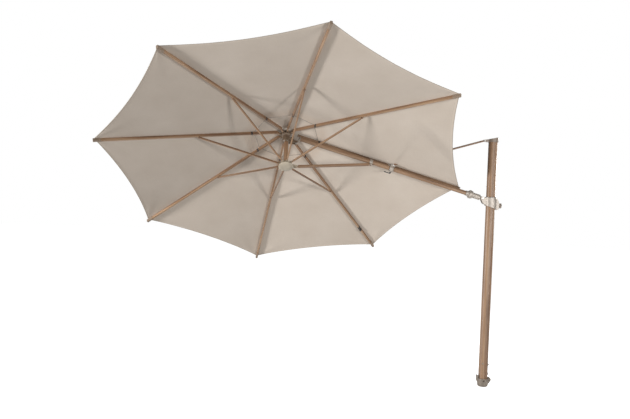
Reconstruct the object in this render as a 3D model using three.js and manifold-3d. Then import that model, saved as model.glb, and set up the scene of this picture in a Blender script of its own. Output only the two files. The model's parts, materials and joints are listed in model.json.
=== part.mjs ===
// Cantilever parasol: a round tilting canopy carried by a boom on a swivelling mast.
// Millimetres, +Z up. The origin is the centre of the foot's underside, on the mast's axis,
// and the boom reaches out towards -X.
import * as THREE from 'three';
import * as BufferGeometryUtils from 'three/addons/utils/BufferGeometryUtils.js';
import Module from 'manifold-3d';

const wasm = await Module();
wasm.setup();

// ---------------------------------------------------------------- driving dimensions
const GAP = 0.4;                 // between pieces that touch

const MAST_HALF_X = 45;          // half width of the mast, along the boom
const MAST_HALF_Y = 39;
const MAST_CORNER = 38;
const MAST_WALL = 2.6;
const MAST_BOTTOM = 22;
const MAST_TOP = 2438;
const CAP_BOTTOM = 2424;
const CAP_TOP_REAR = 2472;       // the cap's top slopes down towards the boom
const CAP_TOP_FRONT = 2452;
const MAST_BOLTS = [124, 214];   // heights of the bolts that hold the insert
const PLUG_Z = 230;

const FOOT_RADIUS = 56;
const FOOT_BORE = 47;
const FOOT_WALL_TOP = 80;

const PIVOT_X = -90;             // the mast's two hinge pins stand this far in front of its axis
const HINGE_Z = 1865;            // boom hinge on the carriage
const KNOB_Z = HINGE_Z - 68;
const BOOM_ANGLE = THREE.MathUtils.degToRad(74.85);   // from the vertical
const ROLL = THREE.MathUtils.degToRad(35.3);          // sideways tilt of the canopy about the boom
const COLLAR_X = 952;            // along the boom, from its hinge
const COLLAR_PIN = 38;           // above the boom's axis
const LEVER_Z = -37;             // tilt lever's pivot, below the boom's axis
const BLOCK_END = 116;           // hinge block's face, where the boom's flange turns
const BOOM_RADIUS = 21;
const BOOM_WALL = 2.5;
const BOOM_START = 143;
const BOOM_END = 1892;
const RAIL_END = 1928;
const APEX_X = 2045;             // along the boom, from its hinge to the canopy's apex
const RAIL_OFFSET = 32.5;        // rail's centre line above the boom's axis
const RAIL_GAP = 38;             // half the gap in the rail at the collar

const CANOPY_RADIUS = 1750;
const SLOPE = THREE.MathUtils.degToRad(13.3);
const PANELS = 8;
const SECTOR = 2 * Math.PI / PANELS;
const FOLD = THREE.MathUtils.degToRad(72);            // travel of a rib from open to closed
const HUB_PIVOT = 60;            // radius of the rib and strut pivots on both hubs
const BOOM_PIVOT = 100;          // radius of the boom's and its strut's pivots on the hubs
const RIB_PIVOT_DROP = 22;       // rib's centre line above the line through its pivots
const ARM = 790;                 // crown pivot to strut pivot, and the strut's own length
const RIB_WIDTH = 15;
const RIB_HEIGHT = 28;
const RAIL_HEIGHT = 22;
const STRUT_WIDTH = 12;
const STRUT_HEIGHT = 16;
const STRUT_NECK = 13;           // from the upper pivot to the beam
const STRUT_FOOT = 30;           // from the runner's pivot to the beam
const MISFIT_DROP = 26;          // runner's cover stays this far below the struts' feet
const BOOM_STRUT_WIDTH = 20;
const BOOM_STRUT_HEIGHT = 22;
const BOOM_STRUT_PIN = 32;       // below the boom's axis
const RUNNER_STEP = 12;          // boom strut's pivot below the others on the runner
const POLE_RADIUS = 21;

const CLOTH = 3;                 // thickness of the canopy solids
const CLOTH_TOP = 18.5;          // cloth's top face above the ribs' centre lines
const SCALLOP = 58;              // how far the hem curves in between two rib tips
const VENT_INNER = 320;
const VENT_CAP_RADIUS = 440;
const VENT_SLOPE = THREE.MathUtils.degToRad(12);
const RAIL_TIP = APEX_X - CANOPY_RADIUS / Math.cos(SLOPE);

// ---------------------------------------------------------------- solids and placing
function solid(geometry) {
  const bare = geometry.clone();
  bare.deleteAttribute('normal');
  bare.deleteAttribute('uv');
  const merged = BufferGeometryUtils.mergeVertices(bare, 1e-4);
  const corners = merged.index.array;
  const kept = [];
  for (let i = 0; i < corners.length; i += 3) {
    const [a, b, c] = [corners[i], corners[i + 1], corners[i + 2]];
    if (a !== b && b !== c && c !== a) kept.push(a, b, c);
  }
  const mesh = new wasm.Mesh({
    numProp: 3,
    vertProperties: new Float32Array(merged.attributes.position.array),
    triVerts: new Uint32Array(kept),
  });
  return new wasm.Manifold(mesh);
}

function geometryOf(manifold) {
  const mesh = manifold.getMesh();
  const geometry = new THREE.BufferGeometry();
  geometry.setAttribute('position', new THREE.BufferAttribute(mesh.vertProperties, 3));
  geometry.setIndex(new THREE.BufferAttribute(mesh.triVerts, 1));
  geometry.computeVertexNormals();
  return geometry;
}

function join(...pieces) {
  return pieces.reduce((sum, piece) => sum.add(piece));
}

function block(x0, x1, y0, y1, z0, z1) {
  const box = new THREE.BoxGeometry(x1 - x0, y1 - y0, z1 - z0);
  return solid(box.translate((x0 + x1) / 2, (y0 + y1) / 2, (z0 + z1) / 2));
}

// A cylinder along z, its axis through (x, y).
function rodZ(radius, x, y, z0, z1, sides = 32) {
  const rod = new THREE.CylinderGeometry(radius, radius, z1 - z0, sides).rotateX(Math.PI / 2);
  return solid(rod.translate(x, y, (z0 + z1) / 2));
}

function rodY(radius, x, z, y0, y1, sides = 20) {
  const rod = new THREE.CylinderGeometry(radius, radius, y1 - y0, sides);
  return solid(rod.translate(x, (y0 + y1) / 2, z));
}

function rodX(radius, y, z, x0, x1, sides = 28) {
  const rod = new THREE.CylinderGeometry(radius, radius, x1 - x0, sides).rotateZ(Math.PI / 2);
  return solid(rod.translate((x0 + x1) / 2, y, z));
}

// A solid of revolution about z. The profile lists [radius, z] from the bottom up.
function turned(profile, sides = 40) {
  const points = profile.map(([r, z]) => new THREE.Vector2(r, z));
  return solid(new THREE.LatheGeometry(points, sides).rotateX(Math.PI / 2));
}

// An outline in x and z, given thickness from y0 to y1.
function profileXZ(points, y0, y1) {
  const shape = new THREE.Shape(points.map(([x, z]) => new THREE.Vector2(x, z)));
  const plate = new THREE.ExtrudeGeometry(shape, { depth: y1 - y0, bevelEnabled: false });
  return solid(plate.rotateX(Math.PI / 2).translate(0, y1, 0));
}

// A rectangular tube along x, open at both ends.
function boxTube(x0, x1, width, height, z, wall) {
  const outer = block(x0, x1, -width / 2, width / 2, z - height / 2, z + height / 2);
  const w = width / 2 - wall;
  const h = height / 2 - wall;
  return outer.subtract(block(x0 - 1, x1 + 1, -w, w, z - h, z + h));
}

// Two cheeks of a fork round a pivot at (x, z), each joined to a root given as an outline.
function cheeks(x, z, radius, inner, outer, root) {
  const sides = [[inner, outer], [-outer, -inner]];
  return join(...sides.map(([y0, y1]) => rodY(radius, x, z, y0, y1).add(profileXZ(root, y0, y1))));
}

function frameOf(x, y, z, origin) {
  return new THREE.Matrix4().makeBasis(x, y, z).setPosition(origin);
}

const move = (x, y, z) => new THREE.Matrix4().makeTranslation(x, y, z);
const turnX = (angle) => new THREE.Matrix4().makeRotationX(angle);
const turnY = (angle) => new THREE.Matrix4().makeRotationY(angle);
const turnZ = (angle) => new THREE.Matrix4().makeRotationZ(angle);
const chain = (...steps) => steps.reduce((sum, step) => sum.multiply(step), new THREE.Matrix4());

// ---------------------------------------------------------------- frames
const WORLD = new THREE.Matrix4();

// Carrier: x runs out along the boom from its hinge, z is up and square to the boom.
const CARRIER = frameOf(
  new THREE.Vector3(-Math.sin(BOOM_ANGLE), 0, Math.cos(BOOM_ANGLE)),
  new THREE.Vector3(0, -1, 0),
  new THREE.Vector3(Math.cos(BOOM_ANGLE), 0, Math.sin(BOOM_ANGLE)),
  new THREE.Vector3(PIVOT_X, 0, HINGE_Z),
);
const BOOM = chain(CARRIER, turnX(ROLL));

// Tie rod: as long as the boom from hinge to collar, so that the boom folds against the mast.
const COLLAR_PIN_AT = new THREE.Vector3(COLLAR_X, 0, COLLAR_PIN).applyMatrix4(CARRIER);
const TIE_TOP = new THREE.Vector3(PIVOT_X, 0, 2 * COLLAR_PIN_AT.z - HINGE_Z);
const TIE_LENGTH = TIE_TOP.distanceTo(COLLAR_PIN_AT);
const TIE_DROP = Math.atan2(TIE_TOP.z - COLLAR_PIN_AT.z, TIE_TOP.x - COLLAR_PIN_AT.x);
const TIE = chain(move(TIE_TOP.x, 0, TIE_TOP.z), turnY(Math.PI - TIE_DROP));

// Canopy: the origin is where the ribs' centre lines meet, z is up the pole, x points to the mast.
const CANOPY = chain(BOOM, frameOf(
  new THREE.Vector3(-Math.cos(SLOPE), 0, Math.sin(SLOPE)),
  new THREE.Vector3(0, -1, 0),
  new THREE.Vector3(Math.sin(SLOPE), 0, Math.cos(SLOPE)),
  new THREE.Vector3(APEX_X, 0, RAIL_OFFSET),
));

const CROWN_LEVEL = -(RIB_PIVOT_DROP / Math.cos(SLOPE) + HUB_PIVOT * Math.tan(SLOPE));
const RUNNER_LEVEL = CROWN_LEVEL - 2 * ARM * Math.sin(SLOPE);
const RIB_TIP = (CANOPY_RADIUS - HUB_PIVOT) / Math.cos(SLOPE) - RIB_PIVOT_DROP * Math.tan(SLOPE);

// Rib 0 is the boom's rail, and the others count round the canopy from it.
const radial = (index) => chain(CANOPY, turnZ(-SECTOR * index));
const ribFrame = (index) => chain(radial(index), move(HUB_PIVOT, 0, CROWN_LEVEL), turnY(SLOPE));
const strutFrame = (index) => chain(
  radial(index),
  move(HUB_PIVOT + ARM * Math.cos(SLOPE), 0, CROWN_LEVEL - ARM * Math.sin(SLOPE)),
  turnY(Math.PI - SLOPE),
);

// The boom's own strut: its pin hangs below the boom, and the crown turns on the boom's end.
// Their pivots are set so that crown and runner meet the other struts at both ends of the fold.
function boomLinkage() {
  const open = Math.PI / 2 - SLOPE;
  const travel = 2 * ARM * (Math.cos(open - FOLD) - Math.cos(open));
  const runnerPin = RUNNER_LEVEL - RUNNER_STEP;
  const linePin = -(RAIL_OFFSET + BOOM_STRUT_PIN) / Math.cos(SLOPE);
  // half the rise from runner to crown is bracketPin - runnerPin, and bracketPin is on the boom's line
  const swing = 1 - Math.cos(FOLD);
  const reach = (travel + 2 * (linePin - runnerPin - BOOM_PIVOT * Math.tan(SLOPE)) * swing)
    / (2 * Math.sin(FOLD) + 2 * Math.tan(SLOPE) * swing);
  const bracketPin = linePin - (BOOM_PIVOT + reach) * Math.tan(SLOPE);
  return {
    runner: runnerPin,
    crown: 2 * bracketPin - runnerPin,
    bracketR: BOOM_PIVOT + reach,
    bracketZ: bracketPin,
    length: Math.hypot(reach, bracketPin - runnerPin),
    angle: Math.atan2(bracketPin - runnerPin, reach),
  };
}
const LINK = boomLinkage();
const BOOM_STRUT = chain(
  CANOPY,
  move(LINK.bracketR, 0, LINK.bracketZ),
  turnY(Math.PI - LINK.angle),
);

function inFrame(frame, point, other) {
  return new THREE.Vector3(...point).applyMatrix4(frame).applyMatrix4(other.clone().invert());
}
const CROWN_PIN = inFrame(CANOPY, [BOOM_PIVOT, 0, LINK.crown], BOOM);
const BRACKET_PIN = inFrame(CANOPY, [LINK.bracketR, 0, LINK.bracketZ], BOOM);

// ---------------------------------------------------------------- materials
function finish(color, roughness, metalness) {
  return { color, roughness, metalness };
}
const WOOD_LOOK = finish('#8a6446', 0.5, 0.1);
const WOOD_LOOK_DARK = finish('#6f4d36', 0.5, 0.1);
const SATIN = finish('#b9b4ab', 0.35, 0.8);
const CAST = finish('#7d776d', 0.6, 0.4);
const STEEL = finish('#a9a9a7', 0.3, 0.9);
const HUB_PLASTIC = finish('#b3a890', 0.55, 0.0);
const BLACK_PLASTIC = finish('#1d1c1b', 0.5, 0.0);
const GREY_PLASTIC = finish('#6a655d', 0.5, 0.0);
const CLOTH_FINISH = finish('#cbb99d', 0.9, 0.0);

const parasol = new THREE.Group();

function add(name, look, frame, manifold) {
  const mesh = new THREE.Mesh(geometryOf(manifold), new THREE.MeshStandardMaterial(look));
  mesh.name = name;
  mesh.applyMatrix4(frame);
  parasol.add(mesh);
}

// ---------------------------------------------------------------- mast and foot
function mastShape(offset) {
  const x = MAST_HALF_X + offset;
  const y = MAST_HALF_Y + offset;
  const r = MAST_CORNER + offset;
  const shape = new THREE.Shape();
  shape.absarc(x - r, y - r, r, 0, Math.PI / 2);
  shape.absarc(r - x, y - r, r, Math.PI / 2, Math.PI);
  shape.absarc(r - x, r - y, r, Math.PI, 1.5 * Math.PI);
  shape.absarc(x - r, r - y, r, 1.5 * Math.PI, 2 * Math.PI);
  return shape;
}

function mastPrism(offset, z0, z1) {
  const options = { depth: z1 - z0, bevelEnabled: false, curveSegments: 8 };
  return solid(new THREE.ExtrudeGeometry(mastShape(offset), options).translate(0, 0, z0));
}

function footSocket() {
  const bowl = turned([
    [0, 0], [40, 0], [48, 6], [53, 20], [FOOT_RADIUS, 44], [FOOT_RADIUS, FOOT_WALL_TOP],
    [FOOT_BORE, FOOT_WALL_TOP], [FOOT_BORE, 14], [0, 14],
  ]);
  const tallLug = profileXZ([
    [-64, 62], [-60, 50], [-49, 40], [-49, 104], [-56, 112], [-65, 108],
  ], -20, 20);
  const lowLug = profileXZ([
    [49, 30], [58, 34], [72, 58], [72, 82], [64, 90], [49, 86],
  ], -20, 20);
  const ears = tallLug.add(lowLug).subtract(rodZ(FOOT_BORE, 0, 0, 20, 120));
  const screwHole = rodX(5.5, 0, 66, 40, 80, 16);
  const drain = rodY(8, -6, 62, -70, -30, 20);
  return bowl.add(ears).subtract(screwHole).subtract(drain);
}

function footBush() {
  return rodZ(46, 0, 0, 14 + GAP, 18).subtract(rodZ(12.4, 0, 0, 10, 20));
}

function footSpindle() {
  return turned([[0, 14 + GAP], [12, 14 + GAP], [12, 60], [9, 64], [0, 64]], 24);
}

function footScrew() {
  const shank = rodX(5, 0, 66, 47.6, 73, 16);
  return shank.add(rodX(10, 0, 66, 72.6, 82, 6));
}

function mastTube() {
  const groove = (side) => block(-6, 6, side - 2.4, side + 2.4, MAST_BOTTOM - 1, MAST_TOP + 1);
  const outer = mastPrism(0, MAST_BOTTOM, MAST_TOP);
  const tube = outer.subtract(mastPrism(-MAST_WALL - 2.6, MAST_BOTTOM - 1, MAST_TOP + 1));
  const bolts = join(...MAST_BOLTS.map((z) => rodX(5.6, 0, z, 30, 50, 16)));
  const plugHole = rodY(7.4, -18, PLUG_Z, -45, -28, 20);
  return tube.subtract(join(groove(MAST_HALF_Y), groove(-MAST_HALF_Y), bolts, plugHole));
}

function mastInsert() {
  const core = turned([[0, 18 + GAP], [32, 18 + GAP], [32, 244], [0, 244]], 32);
  const bore = rodZ(12.4, 0, 0, 10, 72, 24);
  const bolts = join(...MAST_BOLTS.map((z) => rodX(5.6, 0, z, 14, 40, 16)));
  return core.subtract(bore).subtract(bolts);
}

function mastBolt(z) {
  return rodX(5, 0, z, 15, 46, 16).add(rodX(10, 0, z, 45.6, 54, 6));
}

function mastPlug() {
  return rodY(6.8, -18, PLUG_Z, -40, -30, 20).add(rodY(8.6, -18, PLUG_Z, -42, -39.4, 20));
}

function mastCap() {
  const shell = mastPrism(6, CAP_BOTTOM, CAP_TOP_REAR + 4);
  const nose = profileXZ([
    [-40, CAP_BOTTOM], [-62, CAP_BOTTOM], [PIVOT_X - 6, TIE_TOP.z - 9], [PIVOT_X - 11, TIE_TOP.z],
    [PIVOT_X - 7, TIE_TOP.z + 9], [-66, CAP_TOP_FRONT - 2], [-40, CAP_TOP_FRONT + 3],
  ], -14, 14);
  const roof = profileXZ([
    [-130, CAP_TOP_FRONT - 12], [-50, CAP_TOP_FRONT], [38, CAP_TOP_REAR], [60, CAP_TOP_REAR - 6],
    [60, 2600], [-130, 2600],
  ], -80, 80);
  const inside = mastPrism(GAP, CAP_BOTTOM - 1, MAST_TOP + GAP);
  const slot = block(-120, -70, -7.5, 7.5, 2380, 2500);
  const pinHole = rodY(4.4, PIVOT_X, TIE_TOP.z, -20, 20);
  return shell.add(nose).subtract(roof).subtract(inside).subtract(slot).subtract(pinHole);
}

function crossPin(x, z, radius, half, headRadius) {
  const shank = rodY(radius, x, z, -half - 1, half + 1);
  const heads = [half + GAP, -half - GAP - 3];
  return join(shank, ...heads.map((y) => rodY(headRadius, x, z, y, y + 3)));
}

// Along x from its top eye to its lower eye.
function tieRod() {
  const rod = rodX(9, 0, 0, 15, TIE_LENGTH - 15, 20);
  const eyes = [0, TIE_LENGTH].map((x) => {
    const toRod = x === 0 ? [0, 24] : [TIE_LENGTH - 24, TIE_LENGTH];
    const flat = block(toRod[0], toRod[1], -7, 7, -8.5, 8.5);
    return rodY(8.5, x, 0, -7, 7).add(flat).subtract(rodY(4.6, x, 0, -9, 9));
  });
  return join(rod, ...eyes);
}

// ---------------------------------------------------------------- carriage
function carriage() {
  const sleeve = mastPrism(14, HINGE_Z - 118, HINGE_Z + 10);
  const lobe = profileXZ([
    [30, HINGE_Z + 6], [58, HINGE_Z - 2], [72, HINGE_Z - 22], [80, HINGE_Z - 52], [78, HINGE_Z - 88],
    [72, HINGE_Z - 108], [64, HINGE_Z - 114], [30, HINGE_Z - 104],
  ], -30, 30);
  const ears = cheeks(PIVOT_X, HINGE_Z, 17, 15, 28, [
    [PIVOT_X - 16, HINGE_Z + 4], [PIVOT_X - 14, HINGE_Z - 9], [PIVOT_X + 8, HINGE_Z - 52],
    [-50, HINGE_Z - 66], [-40, HINGE_Z - 66], [-40, HINGE_Z + 8], [-66, HINGE_Z + 8],
    [PIVOT_X + 8, HINGE_Z + 15],
  ]);
  const under = profileXZ([
    [-120, HINGE_Z - 54], [-60, HINGE_Z - 68], [60, HINGE_Z - 110], [80, HINGE_Z - 112],
    [80, HINGE_Z - 160], [-120, HINGE_Z - 160],
  ], -80, 80);
  const bore = mastPrism(2.4, HINGE_Z - 200, HINGE_Z + 40);
  const holes = rodX(7, 0, KNOB_Z, 30, 100, 20).add(rodY(6.5, PIVOT_X, HINGE_Z, -40, 40));
  return join(sleeve, lobe, ears).subtract(under).subtract(bore).subtract(holes);
}

function carriageLiner() {
  const studRoom = block(44, 60, -9, 9, KNOB_Z - 9, KNOB_Z + 9);
  const sleeve = mastPrism(1.9, HINGE_Z - 60, HINGE_Z + 12).subtract(studRoom);
  const rim = mastPrism(10, HINGE_Z + 10 + GAP, HINGE_Z + 14);
  return sleeve.add(rim).subtract(mastPrism(0.6, HINGE_Z - 80, HINGE_Z + 40));
}

// Knob and stud turn together about x.
function clampKnob() {
  const grip = rodX(22, 0, KNOB_Z, 84, 108, 24);
  const lobes = Array.from({ length: 6 }, (_, i) => {
    const angle = i * Math.PI / 3;
    return rodX(7, 20 * Math.cos(angle), KNOB_Z + 20 * Math.sin(angle), 86, 106, 12);
  });
  const boss = rodX(12, 0, KNOB_Z, 81, 85, 20);
  return join(grip, boss, ...lobes).subtract(rodX(6.3, 0, KNOB_Z, 70, 98, 20));
}

function clampStud() {
  return rodX(6, 0, KNOB_Z, 54, 97, 20).add(rodX(6.4, 0, KNOB_Z, 50, 54.2, 20));
}

// ---------------------------------------------------------------- carrier on the boom
// Grooved block between the carriage's ears and the boom's flange.
function hingeBlock() {
  const tongue = rodY(15, 0, 0, -14, 14).add(block(0, 44, -14, 14, -14, 14));
  const barrel = rodX(27, 0, 0, 24, 106);
  const disc = rodX(37, 0, 0, 104, BLOCK_END, 40);
  const slots = [[-31, -17], [17, 31]].flatMap(([y0, y1]) => [-13, 7].map((z) => (
    block(36, 100, y0, y1, z, z + 6)
  )));
  const top = [block(36, 100, -4, 4, 21, 30), block(36, 100, -4, 4, -30, -21)];
  const hole = rodY(6.5, 0, 0, -20, 20);
  return join(tongue, barrel, disc).subtract(join(...slots, ...top, hole));
}

function tiltCollar() {
  const ring = rodX(29, 0, 0, COLLAR_X - 19, COLLAR_X + 19);
  const rims = [COLLAR_X - 19, COLLAR_X + 13].map((x) => rodX(31, 0, 0, x, x + 6));
  const ears = cheeks(COLLAR_X, COLLAR_PIN, 10, 7.6, 12.6, [
    [COLLAR_X - 14, 20], [COLLAR_X + 14, 20],
    [COLLAR_X + 9, COLLAR_PIN + 3], [COLLAR_X - 9, COLLAR_PIN + 3],
  ]);
  const lug = block(COLLAR_X - 7, COLLAR_X + 7, -6, 6, LEVER_Z - 4, -20);
  const bore = rodX(BOOM_RADIUS + 1.8, 0, 0, COLLAR_X - 40, COLLAR_X + 40);
  const earRoom = rodY(9.6, COLLAR_X, COLLAR_PIN, -7.6, 7.6);
  const pinHole = rodY(4.4, COLLAR_X, COLLAR_PIN, -20, 20);
  const holes = pinHole.add(rodY(3.4, COLLAR_X, LEVER_Z, -10, 10));
  return join(ring, ...rims, ears, lug).subtract(bore).subtract(earRoom).subtract(holes);
}

function collarBush() {
  const sleeve = rodX(BOOM_RADIUS + 1.4, 0, 0, COLLAR_X - 22, COLLAR_X + 22);
  return sleeve.subtract(rodX(BOOM_RADIUS + 0.4, 0, 0, COLLAR_X - 40, COLLAR_X + 40));
}

// Cam lever that locks the roll, folded back along the underside of the boom.
function tiltLever() {
  const fork = cheeks(COLLAR_X, LEVER_Z, 6.5, 6.5, 9.5, [
    [COLLAR_X - 4, LEVER_Z - 12], [COLLAR_X + 14, LEVER_Z - 12],
    [COLLAR_X + 6, LEVER_Z], [COLLAR_X - 6, LEVER_Z],
  ]);
  const handle = profileXZ([
    [COLLAR_X - 6, LEVER_Z - 9.5], [COLLAR_X + 60, LEVER_Z - 6], [COLLAR_X + 64, LEVER_Z - 11],
    [COLLAR_X + 58, LEVER_Z - 15], [COLLAR_X - 2, LEVER_Z - 15],
  ], -9.5, 9.5);
  return join(fork, handle, rodY(3, COLLAR_X, LEVER_Z, -9, 9, 12));
}

// ---------------------------------------------------------------- boom
function boomFlange() {
  const disc = rodX(41, 0, 0, BLOCK_END + GAP, 138, 44);
  const step = rodX(30, 0, 0, 137, 150, 36);
  const socket = rodX(25.5, 0, 0, 149, 172, 36);
  const bolts = [0, 1, 2, 3].map((i) => {
    const angle = Math.PI / 4 + i * Math.PI / 2;
    return rodX(3.4, 34 * Math.cos(angle), 34 * Math.sin(angle), 110, 150, 12);
  });
  const bore = rodX(BOOM_RADIUS + GAP, 0, 0, BOOM_START - GAP, 200);
  return join(disc, step, socket).subtract(join(...bolts, bore));
}

function boomTube() {
  const tube = rodX(BOOM_RADIUS, 0, 0, BOOM_START, BOOM_END, 32);
  return tube.subtract(rodX(BOOM_RADIUS - BOOM_WALL, 0, 0, BOOM_START - 1, BOOM_END + 1, 32));
}

function boomEndClevis() {
  const plug = rodX(BOOM_RADIUS - BOOM_WALL - GAP, 0, 0, BOOM_END - 60, BOOM_END + 4);
  const face = rodX(BOOM_RADIUS, 0, 0, BOOM_END + GAP, BOOM_END + 9);
  const pin = CROWN_PIN;
  const arm = profileXZ([
    [BOOM_END + 1, 16], [BOOM_END + 1, -18], [pin.x - 9, pin.z - 9], [pin.x + 6, pin.z + 10],
    [BOOM_END + 14, 8],
  ], -10, 10);
  const eye = rodY(12.5, pin.x, pin.z, -10, 10);
  return join(plug, face, arm, eye).subtract(rodY(5.4, pin.x, pin.z, -14, 14));
}

function strutBracket() {
  const { x, z } = BRACKET_PIN;
  const saddle = rodX(25, 0, 0, x - 15, x + 15).add(block(x - 15, x + 15, -25, 25, 0, 14));
  const ears = cheeks(x, z, 10.5, 8.5, 13, [
    [x - 13, -18], [x + 13, -18], [x + 8.5, z], [x - 8.5, z],
  ]);
  const open = block(x - 30, x + 30, -15, 15, 10, 40);
  const bore = rodX(BOOM_RADIUS + GAP, 0, 0, x - 40, x + 40).add(
    block(x - 40, x + 40, -BOOM_RADIUS - GAP, BOOM_RADIUS + GAP, 0, 40),
  );
  const tongueRoom = rodY(10, x, z, -8.5, 8.5);
  const pin = rodY(4, x, z, -13, 13);
  return saddle.add(ears).subtract(open).subtract(bore).subtract(tongueRoom).add(pin);
}

function railPiece(x0, x1) {
  return boxTube(x0, x1, RIB_WIDTH, RAIL_HEIGHT, RAIL_OFFSET, 1.6);
}
function railTip() {
  const plug = block(RAIL_TIP - 1, RAIL_TIP + 20, -5.4, 5.4, RAIL_OFFSET - 8.8, RAIL_OFFSET + 8.8);
  const head = block(RAIL_TIP - 12, RAIL_TIP - GAP, -8.5, 8.5, RAIL_OFFSET - 10, RAIL_OFFSET + 12);
  return plug.add(head);
}

// ---------------------------------------------------------------- crown, pole and runner
const otherRibs = Array.from({ length: PANELS - 1 }, (_, i) => i + 1);

function aroundHub(index, manifold) {
  return manifold.transform(turnZ(-SECTOR * index).elements);
}

function crownHub() {
  const z = CROWN_LEVEL;
  const body = turned([
    [0, LINK.crown - 16], [30, LINK.crown - 16], [34, LINK.crown - 10], [34, z - 22], [46, z - 14],
    [47, z + 12], [40, z + 26], [0, z + 28],
  ]);
  const fork = cheeks(HUB_PIVOT, z, 11, 5.2, 9.4, [
    [34, z - 14], [HUB_PIVOT, z - 11], [HUB_PIVOT, z + 11], [34, z + 16],
  ]).add(rodY(2.8, HUB_PIVOT, z, -7, 7, 12));
  const boomFork = cheeks(BOOM_PIVOT, LINK.crown, 12.5, 10.6, 17, [
    [20, LINK.crown - 14], [BOOM_PIVOT, LINK.crown - 12.5],
    [BOOM_PIVOT, LINK.crown + 12.5], [20, LINK.crown + 22],
  ]).add(rodY(5, BOOM_PIVOT, LINK.crown, -14, 14, 16));
  return join(body, boomFork, ...otherRibs.map((i) => aroundHub(i, fork)));
}

function canopyPole() {
  const top = LINK.crown - 16 - GAP;
  const bottom = RUNNER_LEVEL - 6;
  const bore = rodZ(POLE_RADIUS - 2, 0, 0, bottom - 1, top + 1);
  return rodZ(POLE_RADIUS, 0, 0, bottom, top).subtract(bore);
}

function finial() {
  const seat = CROWN_LEVEL + 28 + GAP;
  return turned([[0, seat], [9, seat], [9, 16], [40, 16], [43, 20], [38, 27], [22, 34], [0, 37]]);
}

function runnerHub() {
  const z = RUNNER_LEVEL;
  const body = turned([
    [0, z - 24], [30, z - 24], [34, z - 16], [46, z - 13], [46, z + 10], [40, z + 18],
    [POLE_RADIUS + 2.5, z + 18], [POLE_RADIUS + 2.5, z - 9], [0, z - 9],
  ]);
  const fork = cheeks(HUB_PIVOT, z, 9, 3.8, 7.4, [
    [36, z - 12], [HUB_PIVOT, z - 9], [HUB_PIVOT, z + 9], [36, z + 12],
  ]);
  const low = LINK.runner;
  const boomFork = cheeks(BOOM_PIVOT, low, 10, 8.6, 13, [
    [30, low - 8], [BOOM_PIVOT, low - 10], [BOOM_PIVOT, low + 10], [36, low + 14],
  ]).add(rodY(3.5, BOOM_PIVOT, low, -11, 11, 12));
  const room = rodZ(POLE_RADIUS + 2.5, 0, 0, z - 9, z + 40);
  return join(body, boomFork, ...otherRibs.map((i) => aroundHub(i, fork))).subtract(room);
}

function runnerCover() {
  const top = RUNNER_LEVEL - MISFIT_DROP;
  return turned([
    [0, top - 15], [34, top - 14], [58, top - 10], [70, top - 3], [70, top],
    [20, top], [20, top + 1.6], [0, top + 1.6],
  ], 48);
}

// ---------------------------------------------------------------- ribs and struts
function rib() {
  const z = RIB_PIVOT_DROP;
  const under = z - RIB_HEIGHT / 2;
  const beam = boxTube(18, RIB_TIP, RIB_WIDTH, RIB_HEIGHT, z, 1.6);
  const neck = profileXZ([
    [-7, 3], [-4, -7], [8, -6], [22, under], [46, under], [46, under + 14], [16, under + 14],
  ], -4.6, 4.6);
  const eye = rodY(8, 0, 0, -4.6, 4.6);
  const lug = cheeks(ARM, 0, 7.6, 3.8, 7.4, [
    [ARM - 7, 0], [ARM + 7, 0], [ARM + 16, under + 1], [ARM - 16, under + 1],
  ]);
  const rivet = rodY(2.6, ARM, 0, -7, 7, 12);
  const tip = block(RIB_TIP - 16, RIB_TIP + 4, -8.6, 8.6, z - 12, z + 13);
  return join(beam, neck, eye, lug, rivet, tip).subtract(rodY(3.4, 0, 0, -9, 9, 12));
}

// A strut along x from its upper eye, which has a hole, to its foot.
function strutBar({ length, width, height, wall, tongue, eyeRadius, neck, foot, hole }) {
  const beam = boxTube(neck, length - foot, width, height, 0, wall);
  const flats = [[0, neck + 2], [length - foot - 2, length]].map(([x0, x1]) => (
    block(x0, x1, -tongue, tongue, -eyeRadius + 1, eyeRadius - 1)
  ));
  // inside the beam each flat is thinner, so that the tube stays open past it
  const roots = [neck + 1, length - foot - 15].map((x) => (
    block(x, x + 14, -tongue + 0.7, tongue - 0.7, -height / 2 + 0.5, height / 2 - 0.5)
  ));
  const eyes = [0, length].map((x) => rodY(eyeRadius, x, 0, -tongue, tongue));
  return join(beam, ...flats, ...roots, ...eyes).subtract(rodY(hole, 0, 0, -20, 20, 12));
}

function strut() {
  return strutBar({
    length: ARM, width: STRUT_WIDTH, height: STRUT_HEIGHT, wall: 1.5,
    tongue: 3, eyeRadius: 7, neck: STRUT_NECK, foot: STRUT_FOOT, hole: 3.2,
  });
}

function boomStrut() {
  const bar = strutBar({
    length: LINK.length, width: BOOM_STRUT_WIDTH, height: BOOM_STRUT_HEIGHT, wall: 1.8,
    tongue: 8, eyeRadius: 9, neck: 22, foot: 22, hole: 4.6,
  });
  return bar.subtract(rodY(4.1, LINK.length, 0, -20, 20, 12));
}

// ---------------------------------------------------------------- canopy
const RIDGE = CANOPY_RADIUS / Math.cos(SLOPE);
const RIB_ANGLE = Math.acos(Math.cos(SLOPE) ** 2 * Math.cos(SECTOR) + Math.sin(SLOPE) ** 2);
const PANEL_ANGLE = RIB_ANGLE / 2;

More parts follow.
